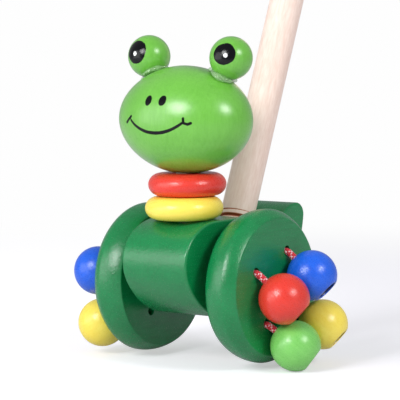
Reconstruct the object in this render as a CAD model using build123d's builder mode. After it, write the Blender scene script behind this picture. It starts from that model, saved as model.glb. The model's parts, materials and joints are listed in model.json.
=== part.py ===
from build123d import *
from math import cos, radians, sin, sqrt
import os

# A wooden frog on wheels that a toddler pushes with a stick.
# Millimetres. +Z is up, the frog faces -Y, and the axle runs along X.
# The origin is on the floor, under the middle of the whole toy's box.

# Wheels
wheel_radius = 32.0
wheel_thickness = 15.0
wheel_crest_share = 0.62
wheel_inner_drop = 2.8
wheel_outer_drop = 3.4
wheel_edge_round = 0.5
wheel_gap = 5.5

# Holes in the wheels for the bead cords
hole_circle_radius = 16.3
hole_diameter = 4.0
right_hole_angle = 152.5
left_hole_angle = 145.6

# Axle
axle_diameter = 8.0
axle_clearance = 0.08
axle_seat_depth = 9.0
axle_end_chamfer = 0.6
glue_gap = 0.03

# Body block, seen from the side: heights above the wheels' lowest point, distances from the axle
body_width = 33.2
body_top = 59.4
body_bottom = 19.4
nose_forward = 19.9
nose_height = 42.2
nose_radius = 15.1
brow_radius = 27.0
jaw_radius = 33.4
rump_back = 45.1
rump_rise = 3.1
rump_radius = 5.4
crown_radius = 16.0
haunch_radius = 44.0
saddle_fillet = 2.5
body_edge_round = 0.9

# Neck: a glued peg that carries two loose rings
neck_forward = 12.6
peg_diameter = 8.0
peg_seat_depth = 14.0
ring_inset = 0.5
ring_bore = 11.2
ring_thickness = 9.4
ring_rim = 5.2
ring_bore_chamfer = 0.8
ring_play = 0.12
yellow_ring_shift = -1.25
red_ring_shift = 1.1

# Head, an egg lying across the toy, with two eye beads stuck on its brow
head_half_length = 30.6
head_radius = 22.2
head_end_flat = 2.0
head_left_fullness_share = 0.6
head_clearance = 0.4
head_turn = 2.3
head_tilt = 1.4
eye_diameter = 17.9
eye_angle = 56.0
eye_swing_back = 6.5
eye_seat_height = 8.35
left_eye_sink = 0.3
glue_radius = 6.6
glue_rise = 2.6
glue_sink = 3.0

# Stick, screwed into the body
stick_diameter = 14.75
stick_lean = 22.7
stick_back = 24.2
stick_length = 440.0
socket_depth = 22.0
socket_clearance = 0.05
socket_mouth_chamfer = 1.0
stick_end_chamfer = 1.0

# Ball grip at the top of the stick
grip_diameter = 34.0
grip_seat_depth = 20.0

# Beads on cords
bead_diameter = 20.9
bead_bore = 3.4
bead_flat_height = 9.0
bead_recess_diameter = 8.9
bead_recess_depth = 6.8
bead_edge_round = 0.6
cord_diameter = 2.8
cord_bend_radius = 3.0
cord_recess = 3.5
cord_reach = 15.0
knot_diameter = 6.4
knot_gap = 0.12

# One named overrun for every cut
overrun = 1.0

# Each bead: its hole on the wheel, its droop below level and its lean towards +Y,
# both in degrees, and its reach as a share of cord_reach.
# All hang against their wheel, the left ones on shorter cords.
right_bead_shares = {
    "red": (0, 47.8, 23.4, 1.0445),
    "blue": (1, 44.9, 15.8, 0.991),
    "yellow": (2, 44.3, 21.7, 0.981),
    "green": (3, 45.0, 31.8, 0.993),
}
left_bead_shares = {
    "blue": (0, 31.5, -1.8, 0.8235),
    "red": (1, 32.1, -7.8, 0.829),
    "green": (2, 32.7, -12.8, 0.8345),
    "yellow": (3, 33.8, -18.2, 0.845),
}


def hole_place(side, hole):
    """Where a cord hole stands on the wheel's disc, from the axle: along Y and up."""
    first = right_hole_angle if side > 0 else left_hole_angle
    turn = radians(first - 90 * hole)
    return hole_circle_radius * cos(turn), hole_circle_radius * sin(turn)


def hang_way(side, droop, lean):
    """The way a cord hangs, out from its wheel, down and towards +Y."""
    down = sin(radians(droop))
    return Vector(
        side * cos(radians(droop)),
        down * sin(radians(lean)),
        -down * cos(radians(lean)),
    )


def bead_rise(side, shares):
    """How far a bead's centre hangs above the axle, less than nothing where it is below."""
    hole, droop, lean, reach_share = shares
    up = hole_place(side, hole)[1]
    return up + hang_way(side, droop, lean).Z * cord_reach * reach_share


# The toy is held by its stick, so the lowest of its wheels and beads is at the floor
bead_rises = [bead_rise(1, shares) for shares in right_bead_shares.values()]
bead_rises += [bead_rise(-1, shares) for shares in left_bead_shares.values()]
axle_height = max(wheel_radius, bead_diameter / 2 - min(bead_rises))
wheel_foot = axle_height - wheel_radius

# Where the main pieces stand
wheel_inner_face = body_width / 2 + wheel_gap
wheel_outer_face = wheel_inner_face + wheel_thickness
stick_direction = Vector(0, sin(radians(stick_lean)), cos(radians(stick_lean)))
grip_distance = stick_length - socket_depth - grip_seat_depth + grip_diameter / 2
toy_back = stick_back + grip_distance * stick_direction.Y + grip_diameter / 2
toy_front = -max(nose_forward + nose_radius, neck_forward + head_radius)
axle_y = -(toy_front + toy_back) / 2

axle_centre = Vector(0, axle_y, axle_height)
side_plane = Plane(origin=(0, axle_y, wheel_foot), x_dir=(0, 1, 0), z_dir=(1, 0, 0))
axle_plane = Plane(origin=axle_centre, x_dir=(1, 0, 0), z_dir=(0, -1, 0))
axle_line = Axis(origin=axle_centre, direction=(1, 0, 0))
neck_top = Vector(0, axle_y - neck_forward, wheel_foot + body_top)
stick_foot = Vector(0, axle_y + stick_back, wheel_foot + body_top)
stick_plane = Plane(origin=stick_foot, x_dir=(1, 0, 0), z_dir=stick_direction)
stick_end = stick_length - socket_depth

ring_diameter = body_width - ring_inset
ring_stack = 2 * ring_thickness + 2 * ring_play
head_centre = neck_top + Vector(0, 0, ring_stack + head_clearance + head_radius)


def tangent_offset(outer_radius, inner_radius, rise):
    """How far apart two circles stand sideways when the small one touches the other from inside."""
    return sqrt((outer_radius - inner_radius) ** 2 - rise**2)


def towards(centre, other, radius):
    """The point of a circle that lies on the line from centre through other."""
    step = (other - centre).normalized()
    return centre + step * radius


# Outline of the body block: arcs that run into each other without a corner,
# apart from the saddle in front of the rump.
nose_centre = Vector(-nose_forward, nose_height)
rump_height = body_top + rump_rise - rump_radius
rump_centre = Vector(rump_back, rump_height)
brow_rise = body_top - brow_radius - nose_height
brow_centre = Vector(
    -nose_forward + tangent_offset(brow_radius, nose_radius, brow_rise),
    body_top - brow_radius,
)
jaw_rise = body_bottom + jaw_radius - nose_height
jaw_centre = Vector(
    -nose_forward + tangent_offset(jaw_radius, nose_radius, jaw_rise),
    body_bottom + jaw_radius,
)
haunch_rise = body_bottom + haunch_radius - rump_height
haunch_centre = Vector(
    rump_back - tangent_offset(haunch_radius, rump_radius, haunch_rise),
    body_bottom + haunch_radius,
)
rump_top = rump_centre + Vector(0, rump_radius)
crown_centre = rump_top - Vector(0, crown_radius)
saddle_run = sqrt(crown_radius**2 - (body_top - crown_centre.Y) ** 2)
saddle_point = Vector(rump_back - saddle_run, body_top)
crown_start = Vector(saddle_point.Y - crown_centre.Y, crown_centre.X - saddle_point.X)

with BuildPart() as body_block:
    with BuildSketch(side_plane) as outline:
        with BuildLine():
            seat = Line((brow_centre.X, body_top), saddle_point)
            crown = TangentArc(seat @ 1, rump_top, tangent=crown_start)
            rump = TangentArc(
                crown @ 1,
                towards(haunch_centre, rump_centre, haunch_radius),
                tangent=crown % 1,
            )
            haunch = TangentArc(rump @ 1, (haunch_centre.X, body_bottom), tangent=rump % 1)
            belly = Line(haunch @ 1, (jaw_centre.X, body_bottom))
            jaw = TangentArc(
                belly @ 1, towards(jaw_centre, nose_centre, jaw_radius), tangent=belly % 1
            )
            nose = TangentArc(
                jaw @ 1, towards(brow_centre, nose_centre, brow_radius), tangent=jaw % 1
            )
            brow = TangentArc(nose @ 1, seat @ 0, tangent=nose % 1)
        make_face()
        saddle_corner = outline.vertices().sort_by_distance(saddle_point)[0]
        fillet(saddle_corner, saddle_fillet)
    extrude(amount=body_width / 2, both=True)
    fillet(body_block.faces().filter_by(Axis.X).edges(), body_edge_round)
    with BuildSketch(side_plane):
        with Locations((0, wheel_radius)):
            Circle(axle_diameter / 2 + axle_clearance)
    extrude(amount=body_width / 2 + overrun, both=True, mode=Mode.SUBTRACT)
    with Locations(neck_top):
        Hole(peg_diameter / 2 + glue_gap, depth=peg_seat_depth)
    with BuildSketch(stick_plane.offset(-socket_depth)):
        Circle(stick_diameter / 2 + socket_clearance)
    extrude(amount=socket_depth + stick_diameter, mode=Mode.SUBTRACT)
    socket_mouth = body_block.edges().filter_by(GeomType.ELLIPSE)
    chamfer(socket_mouth, socket_mouth_chamfer)

with BuildPart() as axle:
    axle_half = wheel_inner_face + axle_seat_depth
    with BuildSketch(Plane(origin=axle_centre, z_dir=(1, 0, 0))):
        Circle(axle_diameter / 2)
    extrude(amount=axle_half, both=True)
    chamfer(axle.faces().filter_by(Axis.X).edges(), axle_end_chamfer)


def make_wheel(side):
    """A wheel turned with a crowned tread, bored blind for the axle and drilled for four cords."""
    crest = wheel_inner_face + wheel_thickness * wheel_crest_share
    inner_rim = wheel_radius - wheel_inner_drop
    outer_rim = wheel_radius - wheel_outer_drop
    with BuildPart() as wheel:
        with BuildSketch(axle_plane):
            with BuildLine():
                hub = Line((side * wheel_outer_face, 0), (side * wheel_inner_face, 0))
                inner_side = Line(hub @ 1, (side * wheel_inner_face, inner_rim))
                inner_tread = TangentArc(
                    (side * crest, wheel_radius), inner_side @ 1, tangent=(-side, 0)
                )
                outer_tread = TangentArc(
                    inner_tread @ 0, (side * wheel_outer_face, outer_rim), tangent=(side, 0)
                )
                Line(outer_tread @ 1, hub @ 0)
            make_face()
        revolve(axis=axle_line)
        flat_faces = wheel.faces().filter_by(Axis.X)
        fillet(flat_faces.edges(), wheel_edge_round)
        with BuildSketch(Plane(origin=axle_centre, x_dir=(0, 1, 0), z_dir=(1, 0, 0))):
            with Locations([hole_place(side, hole) for hole in range(len(right_bead_shares))]):
                Circle(hole_diameter / 2)
        extrude(amount=side * (wheel_outer_face + overrun), mode=Mode.SUBTRACT)
        with BuildSketch(Plane(origin=axle_centre, z_dir=(1, 0, 0))):
            Circle(axle_diameter / 2 + glue_gap)
        extrude(amount=side * (wheel_inner_face + axle_seat_depth + glue_gap), mode=Mode.SUBTRACT)
    return wheel


def hang_of(side, shares):
    """The mouth of a bead's hole, the way its cord hangs, and its centre."""
    hole, droop, lean, reach_share = shares
    along_y, up = hole_place(side, hole)
    mouth = axle_centre + Vector(side * wheel_outer_face, along_y, up)
    hang = hang_way(side, droop, lean)
    return mouth, hang, mouth + hang * (cord_reach * reach_share)


def make_bead(side, shares):
    """A ball cut flat at its outer end, bored for the cord and recessed for the knot."""
    mouth, hang, centre = hang_of(side, shares)
    with BuildPart(Plane(origin=centre, z_dir=hang)) as bead:
        Sphere(bead_diameter / 2)
        with Locations((0, 0, bead_flat_height)):
            Cylinder(
                bead_diameter / 2,
                bead_diameter,
                align=(Align.CENTER, Align.CENTER, Align.MIN),
                mode=Mode.SUBTRACT,
            )
        fillet(bead.faces().filter_by(GeomType.PLANE).edges(), bead_edge_round)
        with Locations((0, 0, bead_flat_height)):
            CounterBoreHole(
                radius=bead_bore / 2,
                counter_bore_radius=bead_recess_diameter / 2,
                counter_bore_depth=bead_recess_depth,
                depth=bead_diameter,
            )
    return bead


def make_cord(side, shares):
    """A cord glued in the wheel's hole, bent at the mouth, and knotted inside the bead's recess."""
    mouth, hang, centre = hang_of(side, shares)
    tail = mouth - Vector(side * (wheel_thickness - cord_recess), 0, 0)
    knot_place = centre + hang * (
        bead_flat_height - bead_recess_depth + knot_diameter / 2 + knot_gap
    )
    with BuildPart() as cord:
        with BuildLine() as route:
            FilletPolyline(tail, mouth, knot_place, radius=cord_bend_radius)
        with BuildSketch(Plane(origin=tail, z_dir=(side, 0, 0))):
            Circle(cord_diameter / 2)
        sweep(path=route.line)
        with Locations(Plane(origin=knot_place, z_dir=hang)):
            Sphere(knot_diameter / 2)
    return cord


def make_ring(shift, level):
    """A loose neck ring with a fully rounded rim, with this many rings under it."""
    underside = ring_play + level * (ring_thickness + ring_play)
    middle = neck_top + Vector(0, shift, underside + ring_thickness / 2)
    with BuildPart() as ring:
        with BuildSketch(Plane(origin=middle, x_dir=(1, 0, 0), z_dir=(0, -1, 0))):
            with Locations((ring_diameter / 2 - ring_rim, 0)):
                Ellipse(ring_rim, ring_thickness / 2)
            face_width = ring_diameter / 2 - ring_rim - ring_bore / 2
            with Locations((ring_bore / 2 + face_width / 2, 0)):
                Rectangle(face_width, ring_thickness)
            Rectangle(ring_bore, ring_thickness, mode=Mode.SUBTRACT)
        revolve(axis=Axis(origin=middle, direction=(0, 0, 1)))
        bore_rims = ring.edges().filter_by(GeomType.CIRCLE).group_by(SortBy.RADIUS)[0]
        chamfer(bore_rims, ring_bore_chamfer)
    return ring


with BuildPart() as neck_peg:
    with BuildSketch(Plane(origin=neck_top).offset(glue_gap - peg_seat_depth)):
        Circle(peg_diameter / 2)
    peg_length = 2 * peg_seat_depth + ring_stack + head_clearance - 2 * glue_gap
    extrude(amount=peg_length)
    chamfer(neck_peg.faces().filter_by(Axis.Z).edges(), axle_end_chamfer)


def turned(point):
    """A point given from the head's centre, carried round by the head's tilt and turn."""
    return point.rotate(Axis.Y, head_tilt).rotate(Axis.Z, head_turn)


head_axis = Axis(origin=head_centre, direction=turned(Vector(1, 0, 0)))
head_level_plane = Plane(
    origin=head_centre, x_dir=turned(Vector(1, 0, 0)), z_dir=turned(Vector(0, 0, 1))
)


def head_profile(outset):
    """Half of the head's outline, outset all round: an egg with its slimmer end at the left.

    Its right quarter is an exact quarter of an ellipse, and its left one is a little less full.
    Its ends are cut to the small flats by which the lathe held the head.
    """
    half_length = head_half_length + outset
    reach = head_radius + outset
    between_flats = 2 * half_length * sqrt(1 - (head_end_flat / (2 * reach)) ** 2)
    right_shares = (1, sqrt(1 / 2), 1)
    left_shares = (1, head_left_fullness_share, 1)
    with BuildSketch(head_level_plane) as profile:
        with BuildLine():
            right = Bezier(
                (half_length, 0), (half_length, reach), (0, reach), weights=right_shares
            )
            left = Bezier(
                (0, reach), (-half_length, reach), (-half_length, 0), weights=left_shares
            )
            Line(left @ 1, right @ 0)
        make_face()
        Rectangle(between_flats, 2 * reach, mode=Mode.INTERSECT)
    return profile.sketch


def brow_seat(side):
    """The foot of an eye on the brow, and the way it faces: the left one is sunk a little more."""
    along = radians(eye_angle)
    sink = left_eye_sink if side < 0 else 0
    back = radians(eye_swing_back)
    upward = Vector(0, sin(back), cos(back))
    foot = Vector(side * head_half_length * cos(along), 0, 0)
    foot += upward * (head_radius * sin(along))
    facing = Vector(side * cos(along) / head_half_length, 0, 0)
    facing += upward * (sin(along) / head_radius)
    facing = turned(facing).normalized()
    return head_centre + turned(foot) - facing * sink, facing


with BuildPart() as head:
    revolve(head_profile(0), axis=head_axis)
    with BuildSketch(Plane(origin=head_centre).offset(-head_radius - overrun)):
        Circle(peg_diameter / 2 + glue_gap)
    extrude(amount=peg_seat_depth + overrun, mode=Mode.SUBTRACT)
    for side in (-1, 1):
        foot, facing = brow_seat(side)
        with Locations(Plane(origin=foot + facing * eye_seat_height, z_dir=facing)):
            Sphere(eye_diameter / 2 + glue_gap, mode=Mode.SUBTRACT)


def make_eye(side):
    """An eye bead, sitting in a shallow dimple of the head."""
    foot, facing = brow_seat(side)
    with BuildPart(Plane(origin=foot + facing * eye_seat_height, z_dir=facing)) as eye:
        Sphere(eye_diameter / 2)
    return eye


def make_glue(side):
    """The collar of clear glue that fills the corner between an eye and the head."""
    foot, facing = brow_seat(side)
    with BuildPart() as glue:
        with BuildSketch(Plane(origin=foot - facing * glue_sink, z_dir=facing)):
            Circle(glue_radius)
        extrude(amount=glue_sink + glue_rise)
        with Locations(Plane(origin=foot + facing * eye_seat_height, z_dir=facing)):
            Sphere(eye_diameter / 2 + glue_gap, mode=Mode.SUBTRACT)
        revolve(head_profile(glue_gap), axis=head_axis, mode=Mode.SUBTRACT)
    return glue


with BuildPart() as handle_stick:
    with BuildSketch(stick_plane.offset(glue_gap - socket_depth)):
        Circle(stick_diameter / 2)
    extrude(amount=stick_length - 2 * glue_gap)
    chamfer(handle_stick.faces().group_by(SortBy.AREA)[0].edges(), stick_end_chamfer)

with BuildPart() as grip_ball:
    with Locations(stick_plane.offset(grip_distance)):
        Sphere(grip_diameter / 2)
    with BuildSketch(stick_plane.offset(stick_end - grip_seat_depth - overrun)):
        Circle(stick_diameter / 2 + glue_gap)
    extrude(amount=grip_seat_depth + overrun, mode=Mode.SUBTRACT)

pieces = {
    "body_block": body_block,
    "axle": axle,
    "neck_peg": neck_peg,
    "yellow_ring": make_ring(yellow_ring_shift, 0),
    "red_ring": make_ring(red_ring_shift, 1),
    "head": head,
    "handle_stick": handle_stick,
    "grip_ball": grip_ball,
}
for side_name, side, table in (("left", -1, left_bead_shares), ("right", 1, right_bead_shares)):
    pieces[f"wheel_{side_name}"] = make_wheel(side)
    pieces[f"eye_{side_name}"] = make_eye(side)
    pieces[f"eye_glue_{side_name}"] = make_glue(side)
    for colour, shares in table.items():
        pieces[f"bead_{side_name}_{colour}"] = make_bead(side, shares)
        pieces[f"cord_{side_name}_{colour}"] = make_cord(side, shares)

os.makedirs("parts", exist_ok=True)
for name, piece in pieces.items():
    piece.part.label = name
    export_step(piece.part, f"parts/{name}.step")
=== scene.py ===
"""A wooden frog on wheels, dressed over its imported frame.

A block body stands between two turned wheels. Beads hang on braided cords outside the wheels,
two loose rings lie under an egg-shaped head with bead eyes, and a bare beech stick leans back.
Shapes are worked out in millimetres in the toy's own frame and stored in metres. +Z is up, the
frog faces -Y and the axle runs along X.
"""
from __future__ import annotations

import json
import logging
import math
from dataclasses import dataclass, field
from enum import Enum
from typing import Any, Callable, Sequence

import bpy
import numpy as np
from mathutils import Matrix, Vector

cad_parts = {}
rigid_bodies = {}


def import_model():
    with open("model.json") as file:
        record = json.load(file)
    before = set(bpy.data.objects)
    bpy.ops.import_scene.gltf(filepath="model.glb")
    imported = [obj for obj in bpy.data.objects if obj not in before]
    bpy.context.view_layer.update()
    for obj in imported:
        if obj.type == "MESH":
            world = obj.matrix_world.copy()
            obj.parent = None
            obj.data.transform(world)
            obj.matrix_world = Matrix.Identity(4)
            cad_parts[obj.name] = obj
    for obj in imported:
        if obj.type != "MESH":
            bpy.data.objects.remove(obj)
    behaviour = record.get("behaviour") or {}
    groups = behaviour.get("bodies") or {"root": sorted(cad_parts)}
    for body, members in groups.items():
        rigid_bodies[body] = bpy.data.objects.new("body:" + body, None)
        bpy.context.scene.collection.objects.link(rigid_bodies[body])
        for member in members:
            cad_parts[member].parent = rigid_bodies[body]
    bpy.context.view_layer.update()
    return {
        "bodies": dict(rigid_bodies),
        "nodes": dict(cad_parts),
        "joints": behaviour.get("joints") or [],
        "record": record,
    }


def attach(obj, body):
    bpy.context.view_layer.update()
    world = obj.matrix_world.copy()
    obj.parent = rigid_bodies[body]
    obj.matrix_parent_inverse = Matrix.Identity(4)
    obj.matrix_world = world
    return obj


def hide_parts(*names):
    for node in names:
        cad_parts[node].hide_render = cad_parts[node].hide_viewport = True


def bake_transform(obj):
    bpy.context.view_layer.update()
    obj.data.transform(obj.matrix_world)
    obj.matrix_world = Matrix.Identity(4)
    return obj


LOG = logging.getLogger("frog")
METRES = 0.001
Array = np.ndarray
Colour = tuple[float, float, float, float]
Place = tuple[float, float, float]
UPRIGHT = np.eye(3)
ALONG_X = np.array([[0, 0, 1.0], [1.0, 0, 0], [0, 1.0, 0]])
GRAIN_X = (0.12, 0.9, 0.9)
GRAIN_Y = (0.9, 0.12, 0.9)
GRAIN_Z = (0.9, 0.9, 0.12)


class Side(Enum):
    """Which side of the toy a piece belongs to, with the sign of its X."""

    LEFT = -1
    RIGHT = 1

    @property
    def word(self) -> str:
        """The side's name as the nodes spell it."""
        return self.name.lower()


def unit(vectors: Any) -> Array:
    """A vector, or each row of an array, divided by its own length."""
    array = np.asarray(vectors, float)
    return array / np.linalg.norm(array, axis=-1, keepdims=True)


def turn_about(axis: Sequence[float], degrees: float) -> Array:
    """The matrix that turns a column about a unit axis, by the right-hand rule.

    It is the cosine times the identity, plus the sine times the matrix of the axis's cross
    product, plus one less the cosine times the axis's product with itself.

    Args:
        axis: The unit axis.
        degrees: How far to turn.

    Returns:
        A 3 by 3 array.
    """
    c, s = math.cos(math.radians(degrees)), math.sin(math.radians(degrees))
    x, y, z = axis
    cross = np.array([[0, -z, y], [z, 0, -x], [-y, x, 0]])
    return c * np.eye(3) + s * cross + (1 - c) * np.outer(axis, axis)


def frame_of(axis: Sequence[float]) -> Array:
    """A right-handed frame of three columns, of which the third is the axis.

    Args:
        axis: The way the third column points.

    Returns:
        A 3 by 3 array.
    """
    third = unit(axis)
    helper = np.array([0.0, 0.0, 1.0]) if abs(third[2]) < 0.9 else np.array([1.0, 0.0, 0.0])
    first = unit(np.cross(helper, third))
    return np.stack([first, np.cross(third, first), third], axis=1)


def euler(frame: Array) -> Any:
    """A frame's columns as Euler angles."""
    return Matrix(frame.tolist()).to_euler()


def stand(name: str, data: Any, place: Array, frame: Array) -> bpy.types.Object:
    """Stands an object at a place and turns it by a frame.

    Args:
        name: The object's name.
        data: Its camera or lamp.
        place: Where its middle stands, in millimetres.
        frame: The columns that its axes lie along.

    Returns:
        The new object, linked to the scene.
    """
    thing = bpy.data.objects.new(name, data)
    middle = Matrix.Translation(Vector((place * METRES).tolist()))
    thing.matrix_world = middle @ Matrix(frame.tolist()).to_4x4()
    bpy.context.scene.collection.objects.link(thing)
    return thing


def smooth(mesh: bpy.types.Mesh, sharp: float = 40.0) -> None:
    """Shades a mesh smooth, apart from edges that turn by more than so many degrees."""
    mesh.polygons.foreach_set("use_smooth", np.ones(len(mesh.polygons), bool))
    mesh.set_sharp_from_angle(angle=math.radians(sharp))


def mesh_piece(name: str, points: Array, faces: list[Any], sharp: float = 40.0) -> bpy.types.Object:
    """A smooth-shaded object at the origin, with its place in its mesh.

    Args:
        name: The object's name.
        points: Vertices in millimetres, one row each.
        faces: Vertex indices of each face.
        sharp: Edges that turn by more degrees than this are shaded sharp.

    Returns:
        The new object, linked to the scene.
    """
    mesh = bpy.data.meshes.new(name)
    mesh.from_pydata((points * METRES).tolist(), [], faces)
    mesh.validate()
    smooth(mesh, sharp)
    piece = bpy.data.objects.new(name, mesh)
    bpy.context.scene.collection.objects.link(piece)
    return piece


def grid_faces(rows: int, columns: int, close_rows: bool = False, first: int = 0) -> Array:
    """Quads of a grid whose columns close on themselves, row after row.

    Args:
        rows: How many rows of vertices there are.
        columns: How many vertices each row has.
        close_rows: Whether the last row joins the first.
        first: The index of the grid's first vertex.

    Returns:
        One row of four indices for each quad.
    """
    i = np.arange(rows if close_rows else rows - 1)[:, None]
    j = np.arange(columns)[None, :]
    below, beside = (i + 1) % rows, (j + 1) % columns
    corners = [i * columns + j, i * columns + beside, below * columns + beside, below * columns + j]
    return np.stack([np.broadcast_to(c, (i.size, columns)) for c in corners], axis=-1).reshape(-1, 4) + first


def outward(piece: bpy.types.Object) -> bpy.types.Object:
    """Turns a closed piece's faces outwards where its signed volume is negative.

    The signed volume is a sixth of the sum, over triangles, of the triple product of the corners.

    Args:
        piece: A piece with a closed mesh.

    Returns:
        The same piece.
    """
    mesh = piece.data
    mesh.calc_loop_triangles()
    corners = np.zeros(len(mesh.loop_triangles) * 3, np.int32)
    mesh.loop_triangles.foreach_get("vertices", corners)
    places = np.zeros(len(mesh.vertices) * 3)
    mesh.vertices.foreach_get("co", places)
    triangle = places.reshape(-1, 3)[corners.reshape(-1, 3)]
    volume = np.einsum("ij,ij->", triangle[:, 0], np.cross(triangle[:, 1], triangle[:, 2]))
    if volume < 0:
        mesh.flip_normals()
    return piece


def lathe(name: str, profile: Array, centre: Array, frame: Array, steps: int = 128) -> bpy.types.Object:
    """A turned piece: a profile carried round an axis.

    The point at share u of the profile and angle v is the centre plus along(u) times the axis,
    plus radius(u) times the cosine of v along the first column and the sine along the second.
    An end of the profile that lies on the axis becomes one pole, and a profile whose ends don't
    lie there closes on itself.

    Args:
        name: The piece's name.
        profile: Rows of distance along the axis and radius, in millimetres.
        centre: Where the axis starts.
        frame: Columns whose third is the axis.
        steps: How many steps go round.

    Returns:
        The turned piece.
    """
    poles = profile[0, 1] < 1e-6 and profile[-1, 1] < 1e-6
    body = profile[1:-1] if poles else profile
    angle = np.linspace(0, 2 * math.pi, steps, endpoint=False)
    round_x = body[:, 1:2] * np.cos(angle)
    along = np.broadcast_to(body[:, 0:1], round_x.shape)
    points = np.stack([round_x, body[:, 1:2] * np.sin(angle), along], axis=-1).reshape(-1, 3)
    faces = grid_faces(len(body), steps, close_rows=not poles).tolist()
    if poles:
        j = np.arange(steps)
        beside = (j + 1) % steps
        last = (len(body) - 1) * steps
        low, high = len(points), len(points) + 1
        points = np.vstack([points, [[0, 0, profile[0, 0]], [0, 0, profile[-1, 0]]]])
        faces += np.stack([np.full(steps, low), beside, j], axis=-1).tolist()
        faces += np.stack([np.full(steps, high), last + j, last + beside], axis=-1).tolist()
    return outward(mesh_piece(name, points @ frame.T + centre, faces))


def arc(centre: Sequence[float], radius: Any, start: float, end: float, steps: int) -> Array:
    """Points of an arc: the centre plus its radius, or two half sizes, times cosine and sine.

    Args:
        centre: The middle in the profile's plane.
        radius: One radius, or an ellipse's two half sizes.
        start: The first angle in degrees.
        end: The last angle in degrees.
        steps: How many points there are.

    Returns:
        One row for each point.
    """
    angle = np.radians(np.linspace(start, end, steps))
    return np.asarray(centre) + np.multiply(radius, np.stack([np.cos(angle), np.sin(angle)], axis=-1))


def curve(enter: Array, corner: Array, leave: Array, steps: int) -> Array:
    """A quadratic curve: (1 - t) squared, 2 t (1 - t) and t squared times its three points."""
    t = np.linspace(0, 1, steps)[:, None]
    return (1 - t) ** 2 * enter + 2 * t * (1 - t) * corner + t**2 * leave


def rounded(corners: Sequence[Any], rounds: Sequence[float], steps: int = 6) -> Array:
    """A chain of straight runs whose inner corners are rounded by quadratic curves.

    Args:
        corners: The chain's corners.
        rounds: How far from each corner its round begins and ends, and zero where it stays.
        steps: How many points each round has.

    Returns:
        One row for each point.
    """
    chain = [np.asarray(corner, float) for corner in corners]
    runs: list[Array] = [chain[0][None, :]]
    for before, corner, after, reach in zip(chain, chain[1:], chain[2:], rounds[1:-1]):
        if reach > 0:
            enter, leave = corner + unit(before - corner) * reach, corner + unit(after - corner) * reach
            runs.append(curve(enter, corner, leave, steps))
        else:
            runs.append(corner[None, :])
    return np.vstack([*runs, chain[-1][None, :]])


def rod(
    name: str,
    low: float,
    high: float,
    radius: float,
    centre: Array,
    frame: Array,
    edge: float = 0.6,
    steps: int = 64,
) -> bpy.types.Object:
    """A plain rod between two heights on an axis, whose ends are rounded by an edge's size."""
    profile = rounded([[low, 0], [low, radius], [high, radius], [high, 0]], [0, edge, edge, 0], 4)
    return lathe(name, profile, centre, frame, steps)


def tube(line: Array, across: Array, out: Array, wide: float, tall: float, steps: int) -> Array:
    """A tube's points: a line's, plus cosine and sine of an angle times two half sizes and ways.

    Args:
        line: The middle line's points.
        across: A direction square to the line at each point.
        out: A direction square to both.
        wide: The half size across.
        tall: The half size outwards.
        steps: How many points go round.

    Returns:
        One row for each point, ring after ring.
    """
    ring = np.linspace(0, 2 * math.pi, steps, endpoint=False)[None, :, None]
    skin = np.cos(ring) * across[:, None, :] * wide + np.sin(ring) * out[:, None, :] * tall
    return (line[:, None, :] + skin).reshape(-1, 3)


def cut(piece: bpy.types.Object, tools: list[bpy.types.Object]) -> bpy.types.Object:
    """Takes the tools' shapes out of a piece and removes the tools.

    Args:
        piece: The piece to cut.
        tools: Closed meshes to subtract.

    Returns:
        The same piece, with its cuts applied.
    """
    for tool in tools:
        modifier = piece.modifiers.new("cut", "BOOLEAN")
        modifier.operation = "DIFFERENCE"
        modifier.solver = "EXACT"
        modifier.object = tool
    with bpy.context.temp_override(object=piece, active_object=piece):
        for modifier in list(piece.modifiers):
            bpy.ops.object.modifier_apply(modifier=modifier.name)
    for tool in tools:
        mesh = tool.data
        bpy.data.objects.remove(tool)
        bpy.data.meshes.remove(mesh)
    smooth(piece.data)
    return piece


def maths(operation: str, swapped: bool = False) -> Callable[..., "Sock"]:
    """A method that adds a Math node.

    Args:
        operation: The node's operation.
        swapped: Whether the values come in reverse, as in a reflected operator.

    Returns:
        The method.
    """

    def method(sock: "Sock", *others: Any) -> "Sock":
        """A Math node on this value and the others."""
        values = (sock, *others)[::-1] if swapped else (sock, *others)
        return sock.paint.node("ShaderNodeMath", {"operation": operation}, *values)

    return method


class Sock:
    """A socket in a material's tree, on which Python's operators add Math nodes."""

    __add__ = __radd__ = maths("ADD")
    __sub__ = maths("SUBTRACT")
    __rsub__ = maths("SUBTRACT", swapped=True)
    __mul__ = __rmul__ = maths("MULTIPLY")
    __truediv__ = maths("DIVIDE")
    __pow__ = maths("POWER")
    larger = maths("MAXIMUM")
    smaller = maths("MINIMUM")
    size = maths("ABSOLUTE")

    def __init__(self, paint: "Paint", socket: Any) -> None:
        """Keeps the socket and the tree that it belongs to."""
        self.paint = paint
        self.socket = socket

    def output(self, name: str) -> "Sock":
        """Another output of this value's node."""
        return Sock(self.paint, self.socket.node.outputs[name])

    def clipped(self) -> "Sock":
        """This value kept between zero and one."""
        return self.larger(0.0).smaller(1.0)

    def below(self, edge: float, soft: float) -> "Sock":
        """One where the value is under an edge and zero above it, with a soft step between."""
        smoothly = {"interpolation_type": "SMOOTHSTEP"}
        return self.paint.node("ShaderNodeMapRange", smoothly, self, edge - soft, edge + soft, 1.0, 0.0)


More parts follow.
